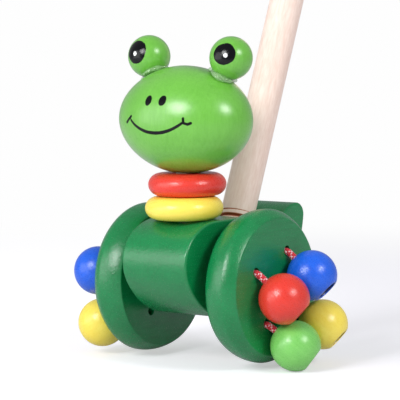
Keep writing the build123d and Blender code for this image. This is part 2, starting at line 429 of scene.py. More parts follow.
class Paint:
    """A material's node tree, built with a method for any node."""

    def __init__(self, name: str) -> None:
        """Starts an empty tree that ends in a Principled shader."""
        self.material = bpy.data.materials.new(name)
        self.material.use_nodes = True
        self.tree = self.material.node_tree
        self.tree.nodes.clear()
        self.surface = self.tree.nodes.new("ShaderNodeOutputMaterial").inputs["Surface"]
        self.shader = self.tree.nodes.new("ShaderNodeBsdfPrincipled")
        self.tree.links.new(self.shader.outputs[0], self.surface)

    def node(self, kind: str, settings: dict[str, Any] | None = None, *values: Any, **named: Any) -> Sock:
        """Any node, with its settings first and its sockets after them.

        Args:
            kind: The node's type.
            settings: Properties to set.
            *values: Values or sockets for the enabled inputs in order.
            **named: Values or sockets by input name, with _ for a space.

        Returns:
            The node's first enabled output.
        """
        node = self.tree.nodes.new(kind)
        for key, value in (settings or {}).items():
            setattr(node, key, value)
        inputs = [socket for socket in node.inputs if socket.enabled]
        pairs = list(zip(inputs, values))
        pairs += [(node.inputs[key.replace("_", " ")], value) for key, value in named.items()]
        for socket, value in pairs:
            self.feed(socket, value)
        return Sock(self, next(socket for socket in node.outputs if socket.enabled))

    def feed(self, socket: Any, value: Any) -> None:
        """Links a socket to another, or sets its number or colour.

        Args:
            socket: The input to feed.
            value: A Sock to link, or a value to set.
        """
        if isinstance(value, Sock):
            self.tree.links.new(value.socket, socket)
        else:
            socket.default_value = value

    def set(self, **values: Any) -> None:
        """Sets or links sockets of the shader by name, with _ for a space."""
        for key, value in values.items():
            self.feed(self.shader.inputs[key.replace("_", " ")], value)

    def now(self, name: str) -> Sock:
        """What feeds one of the shader's sockets now."""
        return Sock(self, self.shader.inputs[name].links[0].from_socket)

    def over(self, share: Any, colour: Colour) -> None:
        """Lays a colour over the base colour where the share is one."""
        self.set(Base_Color=self.mix(share, self.now("Base Color"), colour))

    def vector(self, operation: str, *values: Any, **named: Any) -> Sock:
        """A Vector Math node of this operation."""
        return self.node("ShaderNodeVectorMath", {"operation": operation}, *values, **named)

    def place(self, centre: Sequence[float], turn: Sequence[float] = (0, 0, 0)) -> Sock:
        """Object coordinates in millimetres from a centre, turned into a piece's own frame.

        Args:
            centre: The place that becomes the middle, in millimetres.
            turn: Euler angles, in radians, of the piece's frame.

        Returns:
            The moved coordinates.
        """
        source = self.node("ShaderNodeTexCoord").output("Object")
        location = [value * METRES for value in centre]
        moved = self.node("ShaderNodeMapping", {"vector_type": "TEXTURE"}, source, location, turn)
        return self.vector("SCALE", moved, Scale=1 / METRES)

    def parts(self, vector: Sock) -> tuple[Sock, Sock, Sock]:
        """The three values of a vector."""
        first = self.node("ShaderNodeSeparateXYZ", None, vector)
        return first, first.output("Y"), first.output("Z")

    def noise(self, vector: Sock, scale: float, detail: float = 3.0, rough: float = 0.55) -> Sock:
        """Noise on a vector, about 0.5 in the middle."""
        return self.node("ShaderNodeTexNoise", None, vector, Scale=scale, Detail=detail, Roughness=rough)

    def mix(self, share: Any, first: Any, second: Any) -> Sock:
        """The first colour where the share is zero and the second where it is one."""
        return self.node("ShaderNodeMix", {"data_type": "RGBA"}, share, first, second)

    def bump(self, height: Sock, distance: float) -> Sock:
        """A normal bent by a height field, whose full step is a distance in millimetres."""
        return self.node("ShaderNodeBump", None, Strength=1.0, Distance=distance * METRES, Height=height)


def rgb(red: float, green: float, blue: float) -> Colour:
    """A colour from values of 0 to 255 as a screen shows them, made linear.

    Args:
        red: The red value.
        green: The green value.
        blue: The blue value.

    Returns:
        Four linear values, the last of which is one.
    """
    share = np.array([red, green, blue]) / 255
    line = np.where(share <= 0.04045, share / 12.92, ((share + 0.055) / 1.055) ** 2.4)
    return (*[float(value) for value in line], 1.0)


@dataclass(frozen=True)
class WoodPaint:
    """Thin satin paint on wood, through which the grain just shows."""

    slot: str
    colour: Colour
    deep: Colour
    roughness: float = 0.29
    shine: float = 0.6
    grain_depth: float = 0.028
    coat: float = 0.0

    def paint(self, centre: Sequence[float], turn: Sequence[float], along: Sequence[float]) -> Paint:
        """The finish on one piece, with its grain running along one way.

        Args:
            centre: The piece's middle in millimetres, about which the grain lies.
            turn: Euler angles of the piece's frame in radians.
            along: How the grain's pattern is scaled on each axis, small along the grain.

        Returns:
            The tree of the new material.
        """
        paint = Paint(self.slot)
        place = paint.place(centre, turn)
        grain = paint.noise(paint.vector("MULTIPLY", place, along), 1.0, 4.0, 0.6)
        cloud = paint.noise(place, 0.09, 2.0, 0.5)
        speck = paint.noise(place, 1.7, 3.0, 0.6)
        streak = (grain - 0.5) * 1.6 + (cloud - 0.5) * 0.9 + (speck - 0.5) * 0.8 + 0.35
        paint.set(
            Base_Color=paint.mix(streak.clipped(), self.colour, self.deep),
            Roughness=self.roughness + (speck - 0.5) * 0.18,
            Specular_IOR_Level=self.shine,
            Coat_Weight=self.coat,
            Coat_Roughness=self.roughness,
            Normal=paint.bump(grain * 0.7 + speck * 0.5, self.grain_depth * 4),
        )
        return paint


@dataclass(frozen=True)
class BareWood:
    """Sanded beech with short fine flecks along its length."""

    slot: str = "bare_wood"
    colour: Colour = rgb(250, 229, 217)
    fleck: Colour = rgb(236, 208, 193)

    def paint(self, centre: Sequence[float], turn: Sequence[float]) -> Paint:
        """The finish on one piece, with its flecks along the piece's own Z.

        Args:
            centre: The piece's middle in millimetres.
            turn: Euler angles of the piece's frame in radians.

        Returns:
            The tree of the new material.
        """
        paint = Paint(self.slot)
        place = paint.place(centre, turn)
        flecks = paint.noise(paint.vector("MULTIPLY", place, (1.0, 1.0, 0.16)), 1.1, 3.0, 0.6)
        bands = paint.noise(paint.vector("MULTIPLY", place, (1.0, 1.0, 0.03)), 0.22, 3.0, 0.5)
        share = ((flecks - 0.5) * 2.2 + (bands - 0.5) * 1.6 + 0.35).clipped()
        paint.set(
            Base_Color=paint.mix(share, self.colour, self.fleck),
            Roughness=0.52 + (flecks - 0.5) * 0.2,
            Normal=paint.bump(flecks, 0.05),
        )
        return paint


GREEN = WoodPaint("green_paint", rgb(12, 132, 72), rgb(6, 112, 58), 0.25, 0.62, 0.036)
LIGHT_GREEN = WoodPaint("light_green_paint", rgb(112, 187, 68), rgb(94, 171, 52), 0.29, 0.3, 0.02, 0.9)
LEAF_GREEN = WoodPaint("leaf_green_paint", rgb(128, 206, 102), rgb(112, 192, 88))
RED = WoodPaint("red_paint", rgb(228, 60, 46), rgb(212, 48, 38))
YELLOW = WoodPaint("yellow_paint", rgb(254, 232, 98), rgb(248, 220, 74))
BLUE = WoodPaint("blue_paint", rgb(24, 100, 228), rgb(16, 86, 212))
BARE = BareWood()
PAINT_OF = {"red": RED, "blue": BLUE, "yellow": YELLOW, "green": LEAF_GREEN}


def dress(piece: bpy.types.Object, paint: Paint, slot: str, body: str, *nodes: str) -> None:
    """Gives a piece its finish and its body, and hides the nodes it stands for.

    Args:
        piece: The finished piece.
        paint: The tree of its material.
        slot: The record's material slot; not used.
        body: The body that it rides on.
        *nodes: The frame's nodes that it replaces.
    """
    piece.data.materials.clear()
    piece.data.materials.append(paint.material)
    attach(piece, body)
    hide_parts(*nodes)
    LOG.info("%s: %d faces", piece.name, len(piece.data.polygons))


@dataclass
class Body:
    """The block that the frog's body is sawn from, seen from the side.

    Heights are above the wheels' lowest point and distances are from the axle towards the back.
    The nose is a circle's distance, height and radius.
    """

    axle: Array
    wheel_radius: float = 32.0
    width: float = 33.2
    top: float = 59.4
    bottom: float = 18.3
    nose: Place = (-19.9, 42.2, 15.1)
    brow_radius: float = 27.0
    jaw_radius: float = 33.4
    rump_back: float = 45.1
    rump_rise: float = 3.1
    rump_radius: float = 5.4
    crown_radius: float = 16.0
    haunch_radius: float = 44.0
    saddle_fillet: float = 2.5
    edge_round: float = 0.9
    seat_dip: float = 1.6
    dip_run: tuple[float, float] = (4.0, 14.0)
    stick_back: float = 24.2
    neck_back: float = -12.6
    grain: Place = (0.9, 0.1, 0.9)
    grain_height: float = 40.0

    @property
    def lift(self) -> float:
        """How far above the floor the wheels' lowest point is held."""
        return float(self.axle[2]) - self.wheel_radius

    def seat(self, back: float) -> Array:
        """The point of the flat top that stands so far back from the axle."""
        return np.array([0, self.axle[1] + back, self.lift + self.top])

    def touching(
        self, small: Sequence[float], height: float, radius: float, way: int
    ) -> tuple[Array, float]:
        """A circle that a smaller one touches from inside, at a height and to one side of it.

        Args:
            small: The smaller circle's distance, height and radius.
            height: How high the larger circle's centre stands.
            radius: The larger circle's radius.
            way: One where its centre stands further back, and minus one where further forward.

        Returns:
            The larger circle's centre, and the angle in degrees at which they touch.
        """
        back, rise, small_radius = small
        run = math.sqrt((radius - small_radius) ** 2 - (height - rise) ** 2)
        centre = np.array([back + way * run, height])
        return centre, math.degrees(math.atan2(rise - height, back - centre[0])) % 360

    def outline(self) -> Array:
        """The side outline, arc after arc, from the saddle forward over the nose and round.

        Two circles that touch from inside have centres as far apart as their radii differ. Behind
        the neck the top sinks to the stick's seat, by the dip times one less the cosine of half a
        turn's share, halved. The saddle's corner is rounded last.

        Returns:
            Rows of distance back from the axle and height.
        """
        rump_z = self.top + self.rump_rise - self.rump_radius
        rump = (self.rump_back, rump_z, self.rump_radius)
        brow, brow_end = self.touching(self.nose, self.top - self.brow_radius, self.brow_radius, 1)
        jaw, jaw_end = self.touching(self.nose, self.bottom + self.jaw_radius, self.jaw_radius, 1)
        haunch, haunch_end = self.touching(rump, self.bottom + self.haunch_radius, self.haunch_radius, -1)
        crown_z = rump_z + self.rump_radius - self.crown_radius
        low = self.top - self.seat_dip
        run = math.sqrt(self.crown_radius**2 - (low - crown_z) ** 2)
        crown_start = math.degrees(math.atan2(low - crown_z, -run))
        crown = arc((self.rump_back, crown_z), self.crown_radius, 90, crown_start, 24)
        corner = np.array([self.rump_back - run, low])
        after = crown[np.abs(np.linalg.norm(crown - corner, axis=1) - self.saddle_fillet).argmin()]
        saddle = curve(corner - np.array([self.saddle_fillet, 0]), corner, after, 9)
        share = np.linspace(1, 0, 16)
        sink = self.seat_dip * (1 - np.cos(math.pi * share)) / 2
        runs = [
            arc(brow, self.brow_radius, 90, brow_end, 40),
            arc(self.nose[:2], self.nose[2], brow_end, jaw_end, 48)[1:],
            arc(jaw, self.jaw_radius, jaw_end, 270, 40)[1:],
            arc(haunch, self.haunch_radius, 270, haunch_end, 48)[1:],
            arc(rump[:2], self.rump_radius, haunch_end, 450, 24)[1:],
            crown[crown[:, 0] > after[0] + 0.1][1:],
            saddle[::-1],
            np.stack([self.dip_run[0] + share * np.diff(self.dip_run), self.top - sink], axis=-1),
        ]
        return np.vstack(runs)

    def build(self, stick: "Stick") -> bpy.types.Object:
        """The block with rounded side edges and the stick's socket.

        Ring k of the block is the outline moved inwards by the round times one less the cosine
        of its angle, at half the width less the round times one less the sine.

        Args:
            stick: The stick whose socket is cut.

        Returns:
            The finished block.
        """
        line = self.outline()
        count = len(line)
        ahead = np.roll(line, -1, axis=0)
        along = unit(ahead - np.roll(line, 1, axis=0))
        inward = np.stack([-along[:, 1], along[:, 0]], axis=-1)
        inward *= math.copysign(1, np.sum(line[:, 0] * ahead[:, 1] - ahead[:, 0] * line[:, 1]))
        bend = np.radians(np.linspace(90, 0, 7))
        inset = self.edge_round * (1 - np.cos(bend))
        across = self.width / 2 - self.edge_round * (1 - np.sin(bend))
        inset = np.concatenate([inset, inset[::-1]])
        across = np.concatenate([across, -across[::-1]])
        rings = line[None, :, :] + inward[None, :, :] * inset[:, None, None]
        x = np.broadcast_to(across[:, None, None], rings.shape[:2] + (1,))
        points = np.concatenate([x, rings], axis=-1).reshape(-1, 3)
        faces = grid_faces(len(inset), count).tolist()
        faces.append(list(range(count)))
        faces.append(list(range(len(points) - 1, len(points) - count - 1, -1)))
        block = mesh_piece("body", points + np.array([0, self.axle[1], self.lift]), faces)
        return cut(outward(block), [stick.socket_tool()])

    def make(self, stick: "Stick") -> None:
        """Builds the block and dresses it, with bare wood where the socket's mouth is cut.

        Args:
            stick: The stick whose socket is cut.
        """
        block = self.build(stick)
        paint = GREEN.paint((0, self.axle[1], self.grain_height), (0, 0, 0), self.grain)
        stick.bare_mouth(paint)
        dress(block, paint, GREEN.slot, "root", "body_block")


@dataclass
class Stick:
    """The beech stick, screwed into the body, with the last turn of its thread showing."""

    foot: Array
    lean: float = 22.7
    diameter: float = 14.75
    length: float = 440.0
    depth: float = 22.0
    socket_gap: float = 0.05
    foot_gap: float = 0.03
    mouth_rim: float = 1.0
    pitch: float = 2.5
    thread_depth: float = 0.75
    thread_flank: float = 0.9
    run_out: tuple[float, float] = (0.1, 40.0)
    thread_end: float = -7.0
    row_step: float = 0.1
    end_chamfer: float = 1.0
    grip_diameter: float = 34.0
    grip_seat: float = 20.0
    grip_gap: float = 0.3
    mouth_colour: Colour = rgb(196, 140, 96)
    # Painted shade colours for the thread's groove and for its deepest part.
    groove_colour: Colour = rgb(182, 104, 66)
    deep_colour: Colour = rgb(122, 58, 30)

    @property
    def way(self) -> Array:
        """The way the stick points, up and back."""
        angle = math.radians(self.lean)
        return np.array([0, math.sin(angle), math.cos(angle)])

    @property
    def frame(self) -> Array:
        """Columns whose third is the stick's own way and whose first is X."""
        return np.stack([np.array([1.0, 0, 0]), np.cross(self.way, [1.0, 0, 0]), self.way], axis=1)

    @property
    def grip_centre(self) -> Array:
        """The grip ball's centre."""
        return self.foot + self.way * (self.length - self.depth - self.grip_seat + self.grip_diameter / 2)

    def socket_tool(self) -> bpy.types.Object:
        """The socket's shape, a plain bore that runs out past the body's top, as a closed tool."""
        radius = self.diameter / 2 + self.socket_gap
        return rod("socket_tool", -self.depth, 2 * radius, radius, self.foot, self.frame, 0, 96)

    def distance(self, paint: Paint) -> tuple[Sock, Sock, Sock]:
        """Where a point of a finish lies from the stick's axis.

        Args:
            paint: The tree to add to.

        Returns:
            The distance from the axis, the height over the stick's foot, and the place itself.
        """
        place = paint.place(self.foot, euler(self.frame))
        x, y, z = paint.parts(place)
        return (x * x + y * y) ** 0.5, z, place

    def bare_mouth(self, paint: Paint) -> None:
        """Lets bare wood show round the socket's mouth, with a ragged edge.

        Args:
            paint: The body's finish, whose colour is changed near the mouth.
        """
        distance, _, place = self.distance(paint)
        ragged = (paint.noise(place, 1.3, 3.0, 0.6) - 0.5) * 1.1
        paint.over((distance + ragged).below(self.diameter / 2 + self.mouth_rim, 0.15), self.mouth_colour)

    def surface(self) -> bpy.types.Object:
        """The stick's skin with the top of a cut thread at its foot.

        The thread's middle falls by a pitch a turn from the height and angle of its run-out. The
        cut's depth grows over the first turn to the thread's full depth, and its flanks rise by
        the flank's slope, so the radius is the stick's less the larger of zero and the depth less
        the slope times the distance along the stick from the nearest turn's middle.

        Returns:
            The stick.
        """
        top = self.length - self.depth
        start, start_angle = self.run_out
        threaded = np.arange(self.thread_end, start + self.thread_depth, self.row_step)
        plain = np.linspace(threaded[-1] + 0.5, top - self.end_chamfer, 60)
        rows = np.concatenate([[-self.depth + self.foot_gap], threaded, plain, [top]])
        steps = 192
        angle = np.linspace(0, 2 * math.pi, steps, endpoint=False)
        height = rows[:, None] + 0 * angle
        fallen = ((math.radians(start_angle) - angle) / (2 * math.pi)) % 1.0
        turns = np.maximum(np.round((start - height) / self.pitch - fallen), 0) + fallen
        away = np.abs(height - start + self.pitch * turns)
        cut_depth = self.thread_depth * np.minimum(turns, 1.0) - self.thread_flank * away
        girth = self.diameter / 2 - np.maximum(cut_depth, 0) * (height >= self.thread_end)
        girth[-1] -= self.end_chamfer
        points = np.stack([girth * np.cos(angle), girth * np.sin(angle), height], axis=-1).reshape(-1, 3)
        faces = grid_faces(len(rows), steps).tolist()
        faces.append(list(range(steps))[::-1])
        faces.append(list(range(len(points) - steps, len(points))))
        return outward(mesh_piece("stick", points @ self.frame.T + self.foot, faces, 60))

    def grip(self) -> bpy.types.Object:
        """The ball at the stick's top, with a flat where the stick goes in."""
        radius = self.grip_diameter / 2
        start = math.asin((self.diameter / 2 + self.grip_gap) / radius)
        skin = arc((0, 0), (-radius, radius), math.degrees(start), 180, 90)
        profile = np.vstack([[-radius * math.cos(start), 0], skin])
        return lathe("grip", profile, self.grip_centre, self.frame, 128)

    def make(self) -> None:
        """Builds and dresses the stick, with painted shade down in its thread, and its ball."""
        turn = euler(self.frame)
        paint = BARE.paint(self.foot, turn)
        distance, height, _ = self.distance(paint)
        thread = height.below(self.run_out[0] + 1.0, 0.1)
        radius = self.diameter / 2
        # Painted shade: the thread's groove is browned, and darkened further down, for the shadow in it.
        paint.over(distance.below(radius - 0.03, 0.02) * thread, self.groove_colour)
        paint.over(distance.below(radius - 0.35, 0.15) * thread, self.deep_colour)
        dress(self.surface(), paint, BARE.slot, "root", "handle_stick")
        dress(self.grip(), RED.paint(self.grip_centre, turn, GRAIN_Z), RED.slot, "root", "grip_ball")


@dataclass
class Wheels:
    """Two turned wheels on their axle, each drilled for four cords."""

    axle: Array
    radius: float = 32.0
    thickness: float = 15.0
    crest_share: float = 0.62
    inner_drop: float = 2.8
    outer_drop: float = 3.4
    outer_fall: float = 1.8
    edge: float = 0.5
    inner_face: float = 22.1
    hole_circle: float = 16.3
    hole_diameter: float = 4.0
    hole_overrun: float = 2.0
    first_hole: dict[Side, float] = field(default_factory=lambda: {Side.RIGHT: 152.5, Side.LEFT: 145.6})
    axle_diameter: float = 8.0
    axle_seat: float = 9.0

    def hole(self, side: Side, number: int, across: float) -> Array:
        """The point of a cord hole's axis that stands so far out from the toy's middle."""
        angle = math.radians(self.first_hole[side] - 90 * number)
        return self.axle + np.array(
            [side.value * across, self.hole_circle * math.cos(angle), self.hole_circle * math.sin(angle)]
        )

    def mouth(self, side: Side, number: int) -> Array:
        """The middle of a hole's outer mouth."""
        return self.hole(side, number, self.inner_face + self.thickness)

    def profile(self) -> Array:
        """The wheel's profile from the inner face out over the crowned tread to the outer one.

        The tread's inner half is a circle's arc, level at the crest, whose radius is the run
        squared plus the drop squared, over twice the drop. The outer half falls from the crest by
        the drop times the share of the run to the power of the fall.

        Returns:
            Rows of distance along the axle and radius.
        """
        crest = self.inner_face + self.thickness * self.crest_share
        outer_face = self.inner_face + self.thickness
        bow = ((crest - self.inner_face) ** 2 + self.inner_drop**2) / (2 * self.inner_drop)
        place = np.linspace(self.inner_face, crest, 24)
        inner = np.stack([place, self.radius - bow + np.sqrt(bow**2 - (place - crest) ** 2)], axis=-1)
        share = np.linspace(0, 1, 24)
        fallen = self.radius - self.outer_drop * share**self.outer_fall
        outer = np.stack([crest + share * (outer_face - crest), fallen], axis=-1)
        edges = [0, self.edge, 0]
        start = rounded([[self.inner_face, 0], inner[0], inner[3]], edges, 8)[:-1]
        end = rounded([[outer_face, 0], outer[-1], outer[-4]], edges, 8)[:-1]
        return np.vstack([start, inner[3:], outer[1:-3], end[::-1]])

    def build(self, side: Side) -> bpy.types.Object:
        """A wheel with its four cord holes.

        Args:
            side: Which wheel it is.

        Returns:
            The wheel.
        """
        profile = self.profile()
        profile[:, 0] *= side.value
        wheel = lathe(f"wheel_{side.word}_turned", profile, self.axle, ALONG_X, 192)
        low = side.value * (self.inner_face - self.hole_overrun)
        high = side.value * (self.inner_face + self.thickness + self.hole_overrun)
        bore = self.hole_diameter / 2
        holes = [self.hole(side, number, 0) for number in range(4)]
        return cut(wheel, [rod("hole_tool", low, high, bore, hole, ALONG_X, 0, 40) for hole in holes])

    def make(self) -> None:
        """Builds and dresses both wheels and the axle."""
        for side in Side:
            centre = self.axle + np.array([side.value * (self.inner_face + self.thickness / 2), 0, 0])
            paint = GREEN.paint(centre, (0, 0, 0), GRAIN_Y)
            dress(self.build(side), paint, GREEN.slot, "wheel_set", f"wheel_{side.word}")
        half = self.inner_face + self.axle_seat
        axle = rod("axle_rod", -half, half, self.axle_diameter / 2, self.axle, ALONG_X)
        dress(axle, BARE.paint(self.axle, euler(ALONG_X)), BARE.slot, "wheel_set", "axle")


@dataclass
class Neck:
    """The peg in the body and the head, with a yellow and a red loose ring on it."""

    top: Array
    diameter: float = 32.7
    bore: float = 11.2
    thickness: float = 9.55
    rim: float = 5.2
    chamfer: float = 0.8
    play: float = 0.12
    shifts: tuple[float, float] = (-1.25, 1.1)
    peg_diameter: float = 8.0
    peg_seat: float = 14.0
    head_gap: float = 0.1
    head_rise: float = 22.1

    @property
    def stack(self) -> float:
        """The height of both rings with their play, and of the gap over them."""
        return 2 * (self.thickness + self.play) + self.head_gap

    @property
    def head_centre(self) -> Array:
        """Where the head's middle stands."""
        return self.top + np.array([0, 0, self.stack + self.head_rise])

    def profile(self) -> Array:
        """A ring's closed profile: a rounded rim, two flat faces and a bore with broken edges."""
        half, bore = self.thickness / 2, self.bore / 2
        rim = arc((0, self.diameter / 2 - self.rim), (half, self.rim), 180, 0, 40)
        broken, wide = half - self.chamfer, bore + self.chamfer
        return np.vstack([rim, [[half, wide], [broken, bore], [-broken, bore], [-half, wide]]])

    def make(self) -> None:
        """Builds and dresses the rings and the peg."""
        for level, (colour, shift) in enumerate(zip(("yellow", "red"), self.shifts)):
            rise = self.play + level * (self.thickness + self.play) + self.thickness / 2
            centre = self.top + np.array([0, shift, rise])
            ring = lathe(f"{colour}_neck_ring", self.profile(), centre, UPRIGHT, 160)
            finish = PAINT_OF[colour]
            paint = finish.paint(centre, (0, 0, 0), GRAIN_X)
            dress(ring, paint, finish.slot, f"{colour}_ring", f"{colour}_ring")
        high = self.stack + self.peg_seat
        peg = rod("peg", -self.peg_seat, high, self.peg_diameter / 2, self.top, UPRIGHT)
        dress(peg, BARE.paint(self.top, (0, 0, 0)), BARE.slot, "root", "neck_peg")


@dataclass(frozen=True)
class Pupil:
    """An eye's painted pupil and its dot: the ways they face, and the pupil's reach and height."""

    way: Place
    reach: float
    tall: float
    dot_way: Place


@dataclass
class Head:
    """An egg lying across the toy, with bead eyes glued on its brow and a painted face.

    A stroke is its two ends and its half width, and a nostril its middle, its two half sizes and
    its lean in degrees. Both are given in the head's own X and Z.
    """

    centre: Array
    half_length: float = 30.7
    radius: float = 22.45
    turn: float = 2.3
    tilt: float = 1.4
    eye_radius: float = 8.95
    eye_angle: float = 56.0
    eye_back: float = 6.5
    eye_seat: float = 8.35
    left_eye_sink: float = 0.3
    left_fullness: float = 0.6
    pupils: dict[Side, Pupil] = field(
        default_factory=lambda: {
            Side.LEFT: Pupil((-0.07, -0.97, 0.26), 5.1, 1.03, (-0.07, -0.99, 0.15)),
            Side.RIGHT: Pupil((0.27, -0.92, 0.225), 4.8, 0.97, (0.355, -0.91, 0.14)),
        }
    )
    dot_radius: float = 0.9
    smile_radius: float = 20.9
    smile_lift: float = 16.4
    smile_taper: float = 0.0012
    smile_width: float = 0.72
    smile_reach: float = 13.5
    smile_top: float = 2.0
    strokes: tuple[tuple[Any, Any, float], ...] = (
        ((-16.3, -1.0), (-13.1, 1.7), 0.58),
        ((13.3, 1.9), (13.5, 0.0), 0.5),
        ((13.5, 0.0), (15.1, -0.5), 0.56),
        ((15.1, -0.5), (16.3, 0.0), 0.58),
    )
    nostrils: tuple[tuple[float, ...], ...] = ((-3.75, 8.5, 1.65, 2.1, 14), (3.25, 8.7, 1.72, 2.1, 14))
    black: Colour = rgb(3, 3, 8)
    black_roughness: float = 0.14
    line_soft: float = 0.12

    @property
    def frame(self) -> Array:
        """Columns of the head's own frame, tilted about Y and then turned about Z."""
        return turn_about((0, 0, 1), self.turn) @ turn_about((0, 1, 0), self.tilt)

    def seat(self, side: Side) -> tuple[Array, Array]:
        """The foot of an eye on the brow and the way it faces: the left one is sunk a little."""
        along, back = math.radians(self.eye_angle), math.radians(self.eye_back)
        up = np.array([0, math.sin(back), math.cos(back)])
        x = np.array([side.value * math.cos(along), 0, 0])
        foot = x * self.half_length + up * self.radius * math.sin(along)
        facing = unit(self.frame @ (x / self.half_length + up * math.sin(along) / self.radius))
        sink = self.left_eye_sink if side is Side.LEFT else 0.0
        return self.centre + self.frame @ foot - facing * sink, facing

    def egg(self) -> bpy.types.Object:
        """The head: an egg's outline carried round the head's own X axis.

        At share t the outline's left quarter has the weights (1 - t) squared, 2 f t (1 - t) and t
        squared on the corners left, top left and top of its box, divided by their sum, where f is
        its fullness. The right quarter is an ellipse's.

        Returns:
            The head.
        """
        t = np.linspace(0, 1, 91)[:-1]
        side, middle, top = (1 - t) ** 2, 2 * self.left_fullness * t * (1 - t), t**2
        total = (side + middle + top)[:, None]
        slim = np.stack([-self.half_length * (side + middle), self.radius * (middle + top)], axis=-1)
        full = arc((0, 0), (self.half_length, self.radius), 90, 0, 90)
        return lathe("frog_head", np.vstack([slim / total, full]), self.centre, self.frame @ ALONG_X, 256)

    def face(self, paint: Paint) -> Sock:
        """The painted smile and nostrils as a mask on the head's front.

        The smile is where the distance from an arc's circle, plus a taper times x squared, is
        under half a line, between its ends. A nostril is a leaning ellipse.

        Args:
            paint: The head's tree.

        Returns:
            One where the face is painted.
        """
        place = paint.place(self.centre, euler(self.frame))
        x, y, z = paint.parts(place)
        wobble = (paint.noise(place, 0.35, 2.0, 0.5) - 0.5) * 0.2
        rise = z - self.smile_lift
        ring = ((x * x + rise * rise) ** 0.5 - self.smile_radius + wobble).size() + x * x * self.smile_taper
        marks = ring.below(self.smile_width, self.line_soft) * x.size().below(self.smile_reach, 0.15)
        marks = marks * z.below(self.smile_top, 0.2)
        for first, last, width in self.strokes:
            marks = marks.larger(self.stroke(x, z, first, last).below(width, self.line_soft))
        for nostril in self.nostrils:
            marks = marks.larger(self.oval(x, z, *nostril).below(1.0, 0.08))
        return marks * y.below(0.0, 0.5)

    def stroke(self, x: Sock, z: Sock, first: Sequence[float], last: Sequence[float]) -> Sock:
        """The distance from a straight stroke: from its nearest point between its two ends.

        Args:
            x: Distance across the head.
            z: Height on the head.
            first: One end's x and z.
            last: The other end's x and z.

        Returns:
            The distance in millimetres.
        """
        way_x, way_z = (float(value) for value in np.subtract(last, first))
        share = ((x - first[0]) * way_x + (z - first[1]) * way_z) / (way_x**2 + way_z**2)
        share = share.clipped()
        off_x = x - first[0] - share * way_x
        off_z = z - first[1] - share * way_z
        return (off_x * off_x + off_z * off_z) ** 0.5

    def oval(self, x: Sock, z: Sock, across: float, up: float, wide: float, tall: float, lean: float) -> Sock:
        """One on the edge of a leaning ellipse, less inside and more outside.

        Args:
            x: Distance across the head.
            z: Height on the head.
            across: How far across the ellipse's middle is.
            up: How far up its middle is.
            wide: Its half size across.
            tall: Its half size upwards.
            lean: How many degrees it leans.

        Returns:
            The share of the way from the middle to the edge.
        """
        c, s = math.cos(math.radians(lean)), math.sin(math.radians(lean))
        side = (x - across) * c - (z - up) * s
        rise = (x - across) * s + (z - up) * c
        return ((side / wide) ** 2.0 + (rise / tall) ** 2.0) ** 0.5

    def blacken(self, paint: Paint, share: Sock) -> None:
        """Lays glossier black paint where the share is one.

        Args:
            paint: The tree to change.
            share: Where the black lies.
        """
        rough = paint.now("Roughness") * (1 - share) + share * self.black_roughness
        paint.over(share, self.black)
        paint.set(Roughness=rough, Coat_Weight=(1 - share) * LIGHT_GREEN.coat)

    def eye(self, side: Side) -> None:
        """Builds and dresses an eye, with its pupil and the white dot in it.

        Args:
            side: Which eye it is.
        """
        foot, facing = self.seat(side)
        centre = foot + facing * self.eye_seat
        skin = arc((0, 0), (-self.eye_radius, self.eye_radius), 0, 180, 97)
        ball = lathe(f"frog_eye_{side.word}", skin, centre, frame_of(facing), 160)
        paint = LIGHT_GREEN.paint(centre, euler(self.frame), GRAIN_Z)
        place = paint.place(centre)
        pupil = self.pupils[side]
        wobble = (paint.noise(place, 0.28, 2.0, 0.5) - 0.5) * 0.9
        edge = self.around(paint, place, pupil.way, pupil.tall) + wobble
        self.blacken(paint, edge.below(pupil.reach, 0.14))
        dot = self.around(paint, place, pupil.dot_way, 1.0).below(self.dot_radius, 0.14)
        paint.over(dot, rgb(250, 250, 250))
        dress(ball, paint, LIGHT_GREEN.slot, "root", f"eye_{side.word}")

    def around(self, paint: Paint, place: Sock, way: Sequence[float], tall: float) -> Sock:
        """The straight distance from the point where a way leaves an eye's surface.

        Args:
            paint: The eye's tree.
            place: Coordinates from the eye's middle.
            way: The way to the point.
            tall: How far the distance is stretched across and squeezed upwards.

        Returns:
            The distance in millimetres.
        """
        point = (unit(way) * self.eye_radius).tolist()
        squeezed = paint.vector("MULTIPLY", paint.vector("SUBTRACT", place, point), (tall, 1.0, 1 / tall))
        return paint.vector("LENGTH", squeezed).output("Value")

    def make(self) -> None:
        """Builds and dresses the head and both eyes."""
        paint = LIGHT_GREEN.paint(self.centre, euler(self.frame), GRAIN_Z)
        self.blacken(paint, self.face(paint))
        dress(self.egg(), paint, LIGHT_GREEN.slot, "root", "head")
        for side in Side:
            self.eye(side)


